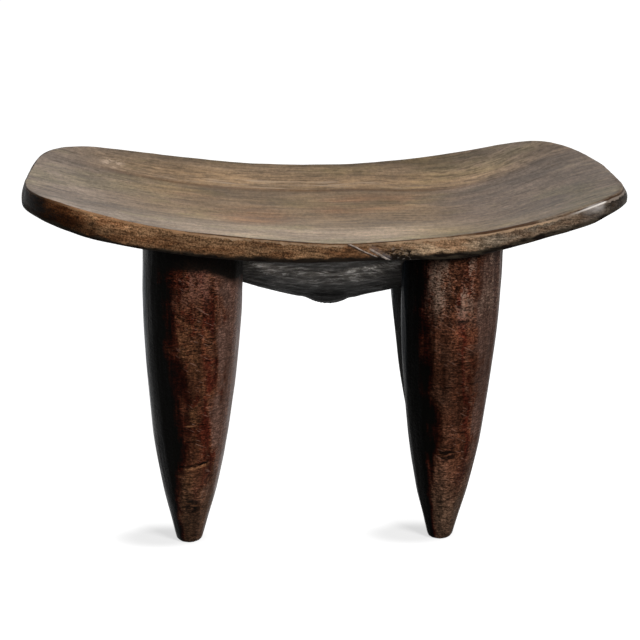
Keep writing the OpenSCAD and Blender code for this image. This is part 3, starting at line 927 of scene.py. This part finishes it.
def carve_seat_piece(settings):
    """The saddle seat: dished top, worn crease, hand-cut lip and adzed underside."""
    seat = settings.seat
    rings, zone = seat_rings(seat)
    count, around = rings.shape[:2]

    # The way run over the surface, from the crease and from the hem, which the wood's colours follow.
    step = np.diff(rings, axis=0)
    run = np.concatenate([np.zeros((1, around)), np.cumsum(np.linalg.norm(step, axis=2), axis=0)])
    crease = np.argmax(zone == LIP)
    over, hem = run - run[crease], run - run[crease + len(CREASE_TURNS) + WALL_RINGS]

    # Lumps, tool marks and adze cuts, along the surface's own directions.
    side = np.gradient(rings, axis=0)
    along = np.roll(rings, -1, 1) - np.roll(rings, 1, 1)
    normal = np.cross(side, along)
    normal /= np.maximum(np.linalg.norm(normal, axis=2, keepdims=True), 1e-9)
    points = rings.reshape(-1, 3)
    soft = lumps(points, (16, 26, 26), 5.0).reshape(count, around)
    small = lumps(points, (60, 75, 75), 9.0).reshape(count, around)
    cuts = scoops(points, (26, 55, 60), 2.0).reshape(count, around)
    kind = zone[:, None]
    depth = np.where(kind == TOP, 0.00045 * soft + 0.00010 * small, 0.0)
    depth = np.where(kind == LIP, 0.00045 * soft + 0.00028 * small, depth)
    adzed = 0.0008 * soft - seat.cut_depth * cuts * np.clip((over - 0.018) / 0.02, 0, 1)
    depth = np.where(kind == UNDER, adzed, depth)
    rings = rings + normal * depth[:, :, None]
    top_pole = (0.0, 0.0, float(rings[0, :, 2].mean()))
    low_pole = (0.0, 0.0, float(rings[-1, :, 2].mean()))
    marks = {name: np.concatenate([[way[0].mean()], way.reshape(-1), [way[-1].mean()]])
             for name, way in (("over_lip", over), ("past_hem", hem))}
    return skin("carved_seat", rings, top_pole, low_pole, marks)


# Lumps of the belly's crest: the middle along the seat, the widths along and across it, and how far each
# lifts the face.
CREST_LUMPS = ((-0.052, 0.030, 0.06, 0.0022), (0.075, 0.025, 0.06, -0.0012), (0.034, 0.014, 0.04, -0.0018))


def belly_height(belly, x, y):
    """Height of the belly's carved face, with its crest and knob."""
    slope, crest_r = belly.slope, belly.crest_radius
    touch_y, touch_z = crest_r * math.sin(slope), crest_r * (1 - math.cos(slope))
    reach = np.abs(y)
    fall = np.where(reach < touch_y, crest_r - np.sqrt(np.maximum(crest_r ** 2 - reach ** 2, 0)),
                    touch_z + (reach - touch_y) * math.tan(slope))
    bow_r = belly.bow_radius
    inside = np.maximum((bow_r - fall) ** 2 - (x - belly.offset) ** 2, 0)
    height = belly.crest_height + bow_r - np.sqrt(inside)
    for middle, long, wide, lift in CREST_LUMPS:
        height = height + lift * hump(x, middle, long) * hump(y, 0, wide)

    # The knob grows out of the face, more softly on its left side.
    away = np.hypot(x - belly.knob_x, y * 0.9)
    knob = belly.knob_height + away ** 2 / (2 * belly.knob_radius)
    blend = np.where(x < belly.knob_x, 0.0035, 0.0016)
    share = np.clip(0.5 + 0.5 * (height - knob) / blend, 0, 1)
    return height * (1 - share) + knob * share - blend * share * (1 - share) * 0.5


# The rings over the belly's carved face and its hidden upper side, and how far that lies inside the seat.
FACE_RINGS, INSIDE_RINGS = 84, 10
INTO_SEAT = 0.0025


def carve_belly_piece(settings):
    """The belly: two shallow faces that meet in a rounded crest with a small knob, all cut with an adze."""
    seat, belly = settings.seat, settings.belly
    around = 420
    turn = np.linspace(0, 2 * np.pi, around + 1)[:-1]
    way = np.stack([np.cos(turn), np.sin(turn)], 1)
    middle = np.array([belly.knob_x, 0.0])

    # Where the face meets the seat, found on each bearing by halving the stretch that holds the place.
    near, far = np.full(around, 0.03), np.full(around, 0.235)
    for _ in range(40):
        reach = (near + far) / 2
        x, y = (middle + way * reach[:, None]).T
        inside = belly_height(belly, x, y) < under_height(seat, x, y) + INTO_SEAT
        near, far = np.where(inside, reach, near), np.where(inside, far, reach)
    rings = []
    for share in np.linspace(0.012, 1.0, FACE_RINGS):
        x, y = (middle + way * (near * share)[:, None]).T
        rings.append(np.column_stack([x, y, belly_height(belly, x, y)]))
    for share in np.linspace(0.97, 0.03, INSIDE_RINGS):
        x, y = (middle + way * (near * share)[:, None]).T
        rings.append(np.column_stack([x, y, under_height(seat, x, y) + INTO_SEAT]))
    rings = np.array(rings)
    points = rings[:FACE_RINGS].reshape(-1, 3)
    soft = lumps(points, (11, 17, 17), 31.0).reshape(FACE_RINGS, around)
    cuts = scoops(points, (24, 70, 70), 7.0).reshape(FACE_RINGS, around)
    rings[:FACE_RINGS, :, 2] += 0.0009 * soft + belly.cut_depth * (cuts - 0.5)
    low_pole = (*middle, float(rings[0, :, 2].mean()))
    top_pole = (*middle, float(rings[-1, :, 2].mean()))
    return skin("carved_belly", rings, low_pole, top_pole, {})


# The points of the leg tree's tube, round it and along it, and the tree's named inputs, apart from its wood.
LEG_AROUND, LEG_RINGS = 144, 190
LEG_SIZES = (
    "Axis X", "Axis Y", "Lean", "Thick Radius", "Foot Radius", "Thick Height", "Top Height", "Foot Rounding",
    "Facets", "Facet Share", "Scoop Depth", "Seed", "Low Swell",
    "Cut Height", "Cut Depth", "Cut Bearing", "Cut Edge", "Knot Height", "Knot Bearing", "Knot Size",
    "Rim Height", "Under Rise", "Under Crown", "Seat Half Length", "Seat Half Depth",
)


def leg_tree():
    """The rule of a leg: a bowed taper with long facets, scoops, a stop cut and a knot, cut to the seat."""
    tree = bpy.data.node_groups.new("Carved leg", "GeometryNodeTree")
    tree.is_modifier = True
    for name in LEG_SIZES:
        tree.interface.new_socket(name=name, in_out="INPUT", socket_type="NodeSocketFloat")
    tree.interface.new_socket(name="Wood", in_out="INPUT", socket_type="NodeSocketMaterial")
    tree.interface.new_socket(name="Leg", in_out="OUTPUT", socket_type="NodeSocketGeometry")
    w = Wiring(tree)
    given = w.node("NodeGroupInput").outputs
    m = w.math
    thick_z = given["Thick Height"]

    # A tube of unit radius, whose places give the bearing round the leg and the height along it. Its rings
    # stand closer together towards the foot.
    tube = w.node("GeometryNodeMeshCylinder", {"Vertices": LEG_AROUND, "Side Segments": LEG_RINGS,
                                               "Radius": 1.0, "Depth": 1.0})
    turn_x, turn_y, half = w.parts(w.node("GeometryNodeInputPosition").outputs[0])
    share = m("POWER", m("ADD", half, 0.5, clamp=True), 1.35)
    rise = w.times(share, given["Top Height"])
    stock = w.join(turn_x, turn_y, rise)
    seeded = w.vector("ADD", stock, w.join(given["Seed"], 0.0, given["Seed"]))

    # The bowed taper from the thickest height down to the foot.
    drop = m("MAXIMUM", w.less(thick_z, rise), 0.0)
    shrink = w.less(given["Thick Radius"], given["Foot Radius"])
    bow = m("DIVIDE", w.total(w.times(thick_z, thick_z), w.times(shrink, shrink)), w.times(shrink, 2.0))
    sunk = w.less(bow, m("SQRT", w.less(w.times(bow, bow), w.times(drop, drop))))
    swell = w.times(w.span(rise, 0.020, 0.060), w.span(rise, 0.085, 0.175, 1.0, 0.0), given["Low Swell"])
    radius = w.total(w.less(given["Thick Radius"], sunk), swell)

    # Long facets of uneven width, lumps and short scoops.
    bearing = m("ARCTAN2", turn_y, turn_x)
    sway = w.swing(w.noise(seeded, (1.3, 1.3, 5.0), detail=2), 0.9)
    place = m("DIVIDE", w.times(w.total(bearing, sway), given["Facets"]), 2 * math.pi)
    within = w.less(m("FRACT", place), 0.5)
    half_facet = m("DIVIDE", math.pi, given["Facets"])
    flat = m("DIVIDE", m("COSINE", half_facet), m("COSINE", w.times(within, w.times(half_facet, 2.0))))
    radius = w.times(radius, w.less(1.0, w.times(w.less(1.0, flat), given["Facet Share"])))
    radius = w.times(radius, w.total(1.0, w.swing(w.noise(seeded, (1.1, 1.1, 9.0), detail=2), 0.030)))
    scoop = m("MINIMUM", w.cells(seeded, (2.6, 2.6, 17.0)), 1.0)
    radius = w.less(radius, w.times(w.less(1.0, w.times(scoop, scoop)), given["Scoop Depth"]))

    # A stop cut: the wood above it is sunk, and the hollow runs out upwards from its ledge.
    facing = m("COSINE", w.less(bearing, given["Cut Bearing"]))
    window = w.span(facing, given["Cut Edge"], w.total(w.times(given["Cut Edge"], 0.4), 0.6))
    ripple = w.swing(w.noise(seeded, (3.0, 3.0, 0.0)), 0.014)
    slant = w.times(turn_x, 0.006)
    above = w.less(rise, w.total(given["Cut Height"], ripple, slant))
    hollow = w.times(w.span(above, 0.0, 0.0016), w.span(above, 0.0016, 0.036, 1.0, 0.0, soft=False))
    radius = w.less(radius, w.times(hollow, window, given["Cut Depth"]))

    # The worn foot.
    near_foot = w.less(1.0, m("MINIMUM", m("DIVIDE", rise, given["Foot Rounding"]), 1.0))
    worn = w.less(1.0, m("SQRT", w.less(1.0, w.times(near_foot, near_foot))))
    radius = w.less(radius, w.times(worn, w.times(given["Foot Rounding"], 0.8)))

    # A knot: how far a place is from its middle, over the surface.
    knot_way = w.join(m("COSINE", given["Knot Bearing"]), m("SINE", given["Knot Bearing"]), 0.0)
    chord = w.times(w.vector("LENGTH", w.vector("SUBTRACT", w.join(turn_x, turn_y, 0.0), knot_way)), radius)
    climb = w.less(rise, given["Knot Height"])
    away = m("SQRT", w.total(w.times(chord, chord), w.times(climb, climb)))

    # The leg's place under the seat, with its top cut to the underside and 3 mm inside the seat.
    lean = m("DIVIDE", w.times(w.less(thick_z, rise), given["Lean"]), thick_z)
    x = w.total(given["Axis X"], lean, w.times(radius, turn_x))
    y = w.total(given["Axis Y"], w.times(radius, turn_y))
    cut_top = w.less(w.total(under_wire(w, given, x, y), 0.003), given["Top Height"])
    z = w.total(rise, w.times(cut_top, w.span(rise, thick_z, given["Top Height"], soft=False)))

    marked = tube.outputs["Mesh"]
    for name, kind, value in (("stock", "FLOAT_VECTOR", stock),
                              ("knot_away", "FLOAT", m("DIVIDE", away, given["Knot Size"])),
                              ("cut_above", "FLOAT", above), ("cut_window", "FLOAT", window)):
        store = w.node("GeometryNodeStoreNamedAttribute", {"Geometry": marked, "Name": name}, data_type=kind,
                       domain="POINT")
        w.feed(store.inputs["Value"], value)
        marked = store.outputs[0]
    moved = w.node("GeometryNodeSetPosition", {"Geometry": marked, "Position": w.join(x, y, z)})
    smooth = w.node("GeometryNodeSetShadeSmooth", {"Geometry": moved.outputs[0]})
    real = w.node("GeometryNodeRealizeInstances", {"Geometry": smooth.outputs[0]})
    wood = w.node("GeometryNodeSetMaterial", {"Geometry": real.outputs[0], "Material": given["Wood"]})
    outlet = w.node("NodeGroupOutput")
    w.feed(outlet.inputs[0], wood.outputs[0])
    return tree


def under_wire(w, given, x, y):
    """The height of the seat's underside at a place, as nodes."""
    rise, crown = given["Under Rise"], given["Under Crown"]

    def radius(half, bow):
        return w.math("DIVIDE", w.total(w.times(half, half), w.times(bow, bow)), w.times(bow, 2.0))

    drum_r, crown_r = radius(given["Seat Half Length"], rise), radius(given["Seat Half Depth"], crown)
    arc = w.math("SQRT", w.less(w.times(crown_r, crown_r), w.times(y, y)))
    bow_r = w.total(w.less(w.total(drum_r, crown), crown_r), arc)
    fall = w.math("SQRT", w.less(w.times(bow_r, bow_r), w.times(x, x)))
    return w.less(w.total(given["Rim Height"], drum_r), fall)


# Each leg: its sides along and across, the lean of its foot and its seed. Then its stop cut's bearing,
# height, depth and the cosine at which the cut ends, and its knot's bearing, height and size.
LEGS = {
    "leg_front_left": (-1, -1, -0.0095, 2.0, (-1.47, 0.0945, 0.0014, 0.84), (-1.50, 0.047, 0.0110)),
    "leg_front_right": (1, -1, -0.0060, 5.0, (1.90, 0.1700, 0.0012, 0.80), (-1.56, 0.107, 0.0130)),
    "leg_rear_left": (-1, 1, -0.0020, 9.0, (1.90, 0.1500, 0.0011, 0.72), (1.10, 0.210, 0.0075)),
    "leg_rear_right": (1, 1, 0.0040, 14.0, (1.30, 0.1200, 0.0012, 0.75), (2.10, 0.070, 0.0080)),
}


def carve_leg_piece(settings, node, tree, wood):
    """One leg, made by the leg tree and turned into a plain mesh."""
    seat, legs = settings.seat, settings.legs
    side, edge, lean, seed, cut, knot = LEGS[node]
    name = "carved_" + node
    piece = bpy.data.objects.new(name, bpy.data.meshes.new(name))
    bpy.context.scene.collection.objects.link(piece)
    modifier = piece.modifiers.new("Carved leg", "NODES")
    modifier.node_group = tree
    values = {
        "Axis X": side * legs.spread_x, "Axis Y": edge * legs.spread_y, "Lean": lean,
        "Thick Radius": legs.thick / 2 + legs.spare, "Foot Radius": legs.foot / 2 + legs.spare,
        "Thick Height": legs.thick_height, "Top Height": legs.top_height, "Foot Rounding": legs.foot_round,
        "Facets": float(legs.facets), "Facet Share": legs.facet_share, "Scoop Depth": legs.scoop_depth,
        "Seed": seed, "Low Swell": legs.low_swell,
        "Cut Bearing": cut[0], "Cut Height": cut[1], "Cut Depth": cut[2], "Cut Edge": cut[3],
        "Knot Bearing": knot[0], "Knot Height": knot[1], "Knot Size": knot[2],
        "Rim Height": seat.rim_height - seat.edge_thickness, "Under Rise": seat.under_rise,
        "Under Crown": seat.under_crown, "Seat Half Length": seat.length / 2,
        "Seat Half Depth": seat.depth / 2, "Wood": wood,
    }
    for item in tree.interface.items_tree:
        if item.in_out == "INPUT":
            modifier[item.identifier] = values[item.name]
    graph = bpy.context.evaluated_depsgraph_get()
    graph.update()
    mesh = bpy.data.meshes.new_from_object(piece.evaluated_get(graph), preserve_all_data_layers=True,
                                           depsgraph=graph)
    piece.modifiers.clear()
    empty, piece.data = piece.data, mesh
    mesh.name = name
    bpy.data.meshes.remove(empty)
    return piece


def seat_piece(piece, node):
    """Joins a finished piece to the frame: it rides on the root body and stands for its CAD node."""
    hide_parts(node)
    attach(piece, "root")


class STOOL_OT_carve_seat(bpy.types.Operator):
    """Carve the saddle seat in place of the CAD seat"""

    bl_idname = "stool.carve_seat"
    bl_label = "Carve the seat"

    def execute(self, context):
        settings = context.scene.stool
        piece = carve_seat_piece(settings)
        piece.data.materials.append(saddle_wood(settings.seat_colours))
        seat_piece(piece, "seat")
        return {"FINISHED"}


class STOOL_OT_carve_belly(bpy.types.Operator):
    """Carve the belly under the seat in place of the CAD belly"""

    bl_idname = "stool.carve_belly"
    bl_label = "Carve the belly"

    def execute(self, context):
        settings = context.scene.stool
        piece = carve_belly_piece(settings)
        piece.data.materials.append(smoked_wood(settings.belly_colours))
        seat_piece(piece, "belly")
        return {"FINISHED"}


class STOOL_OT_carve_legs(bpy.types.Operator):
    """Carve the four pointed legs in place of the CAD legs"""

    bl_idname = "stool.carve_legs"
    bl_label = "Carve the legs"

    def execute(self, context):
        settings = context.scene.stool
        tree = leg_tree()
        wood = leg_wood(settings.leg_colours)
        for node in LEGS:
            piece = carve_leg_piece(settings, node, tree, wood)
            if not piece.data.polygons:
                raise RuntimeError("the leg tree gave no faces for " + node)
            seat_piece(piece, node)
        return {"FINISHED"}


# Where the lamps and the camera stand and what they face, and the widths of the lamps.
KEY_PLACE, KEY_WIDTH = (1.75, -2.15, 1.62), 0.9
TOP_PLACE, TOP_WIDTH = (0.0, 0.25, 2.3), 1.6
LAMP_TARGET = (0.0, 0.0, 0.22)
CAMERA_PLACE, CAMERA_TARGET = (-0.0619, -1.8026, 0.8005), (0.00115, 0.0020, 0.2093)
FLOOR_REACH = 9.0
FLOOR_GREY = 0.35


class STOOL_OT_set_stage(bpy.types.Operator):
    """Set the floor, the lamps, the white surroundings and the camera"""

    bl_idname = "stool.set_stage"
    bl_label = "Set the stage"

    def execute(self, context):
        studio = context.scene.stool.studio
        make_floor(studio, context.scene.stool.legs)
        make_world(studio)
        make_lamp("Key lamp", KEY_PLACE, KEY_WIDTH, studio.key_power)
        make_lamp("Top lamp", TOP_PLACE, TOP_WIDTH, studio.top_power)
        make_camera(studio)
        context.scene.view_settings.view_transform = "Standard"
        return {"FINISHED"}


def seen_white(w):
    """1 for rays that show the surroundings: from the camera, in gloss and through clear matter."""
    path = w.node("ShaderNodeLightPath").outputs
    seen = w.math("MAXIMUM", path["Is Camera Ray"], path["Is Glossy Ray"])
    return w.math("MAXIMUM", seen, path["Is Transmission Ray"])


def beside_feet(w, legs):
    """1 on the floor just left of the two front feet, where their shadows are seen, and 0 elsewhere."""
    place = w.node("ShaderNodeTexCoord").outputs["Object"]
    beside = None
    for side, edge, lean, *_ in LEGS.values():
        if edge < 0:
            middle = (side * legs.spread_x + lean - 0.030, edge * legs.spread_y + 0.004, 0.0)
            near = w.spot(place, middle, (0.075, 0.040, 0.0), 0.30)
            beside = near if beside is None else w.math("MAXIMUM", beside, near)
    return beside


def make_floor(studio, legs):
    """A wide plain floor that looks like white paper and keeps the shadows of the feet."""
    mesh = bpy.data.meshes.new("floor")
    far = FLOOR_REACH
    mesh.from_pydata([(-far, -far, 0), (far, -far, 0), (far, far, 0), (-far, far, 0)], [], [(0, 1, 2, 3)])
    floor = bpy.data.objects.new("floor", mesh)
    bpy.context.scene.collection.objects.link(floor)
    material = bpy.data.materials.new("White paper")
    material.use_nodes = True
    material.node_tree.nodes.clear()
    w = Wiring(material.node_tree)
    paper = w.node("ShaderNodeBsdfDiffuse", {"Color": (FLOOR_GREY, FLOOR_GREY, FLOOR_GREY, 1.0)})
    glow = w.node("ShaderNodeEmission", {"Color": (1, 1, 1, 1)})
    whiteness = w.span(beside_feet(w, legs), 0.0, 1.0, studio.paper, studio.tread, soft=False)
    w.feed(glow.inputs["Strength"], w.math("MULTIPLY", seen_white(w), whiteness))
    both = w.node("ShaderNodeAddShader", {0: paper.outputs[0], 1: glow.outputs[0]})
    clear = w.node("ShaderNodeBsdfTransparent")
    behind = w.node("ShaderNodeNewGeometry").outputs["Backfacing"]
    surface = w.node("ShaderNodeMixShader", {0: behind, 1: both.outputs[0], 2: clear.outputs[0]})
    output = w.node("ShaderNodeOutputMaterial")
    w.feed(output.inputs["Surface"], surface.outputs[0])
    mesh.materials.append(material)


def make_world(studio):
    """Even fill light, with white surroundings where they are seen."""
    world = bpy.data.worlds.new("Studio")
    bpy.context.scene.world = world
    world.use_nodes = True
    world.node_tree.nodes.clear()
    w = Wiring(world.node_tree)
    fill = w.node("ShaderNodeBackground", {"Color": (1, 1, 1, 1), "Strength": studio.fill})
    white = w.node("ShaderNodeBackground", {"Color": (1, 1, 1, 1), "Strength": 1.0})
    surface = w.node("ShaderNodeMixShader", {0: seen_white(w), 1: fill.outputs[0], 2: white.outputs[0]})
    output = w.node("ShaderNodeOutputWorld")
    w.feed(output.inputs["Surface"], surface.outputs[0])


def aim(thing, target):
    """Turns a lamp or the camera towards a place, with its upper side up."""
    way = Vector(target) - thing.location
    thing.rotation_euler = way.to_track_quat("-Z", "Y").to_euler()


def make_lamp(name, place, width, watts):
    """A square soft lamp that faces the stool."""
    light = bpy.data.lights.new(name, "AREA")
    light.shape = "SQUARE"
    light.size = width
    light.energy = watts
    lamp = bpy.data.objects.new(name, light)
    bpy.context.scene.collection.objects.link(lamp)
    lamp.location = place
    aim(lamp, LAMP_TARGET)


def make_camera(studio):
    """The camera, a little above the stool and a little left of its middle."""
    data = bpy.data.cameras.new("Camera")
    data.sensor_width = 36.0
    data.lens = studio.lens
    data.clip_end = 50.0
    camera = bpy.data.objects.new("Camera", data)
    bpy.context.scene.collection.objects.link(camera)
    camera.location = CAMERA_PLACE
    aim(camera, CAMERA_TARGET)
    bpy.context.scene.camera = camera


class STOOL_PT_carving(bpy.types.Panel):
    """The stool's pieces and settings"""

    bl_idname = "STOOL_PT_carving"
    bl_label = "Carved stool"
    bl_space_type = "VIEW_3D"
    bl_region_type = "UI"
    bl_category = "Stool"

    def draw(self, context):
        settings = context.scene.stool
        for step in STEPS:
            self.layout.operator(step.bl_idname)
        for key in StoolSettings.__annotations__:
            box = self.layout.box()
            box.label(text=key.replace("_", " ").capitalize())
            group = getattr(settings, key)
            for name in type(group).__annotations__:
                box.prop(group, name)


STEPS = (STOOL_OT_carve_seat, STOOL_OT_carve_belly, STOOL_OT_carve_legs, STOOL_OT_set_stage)
CLASSES = (SeatForm, SeatColours, BellyForm, BellyColours, LegForm, LegColours, StudioSetup, StoolSettings,
           *STEPS, STOOL_PT_carving)


def register():
    """Adds the stool's classes and settings to Blender."""
    for each in CLASSES:
        bpy.utils.register_class(each)
    bpy.types.Scene.stool = PointerProperty(type=StoolSettings, name="Stool", description="The carved stool")


def unregister():
    """Takes the stool's classes and settings out of Blender."""
    del bpy.types.Scene.stool
    for each in reversed(CLASSES):
        bpy.utils.unregister_class(each)


def main():
    """Carves the whole stool on its stage."""
    register()
    bpy.ops.stool.carve_seat()
    bpy.ops.stool.carve_belly()
    bpy.ops.stool.carve_legs()
    bpy.ops.stool.set_stage()


if __name__ == "__main__":
    main()
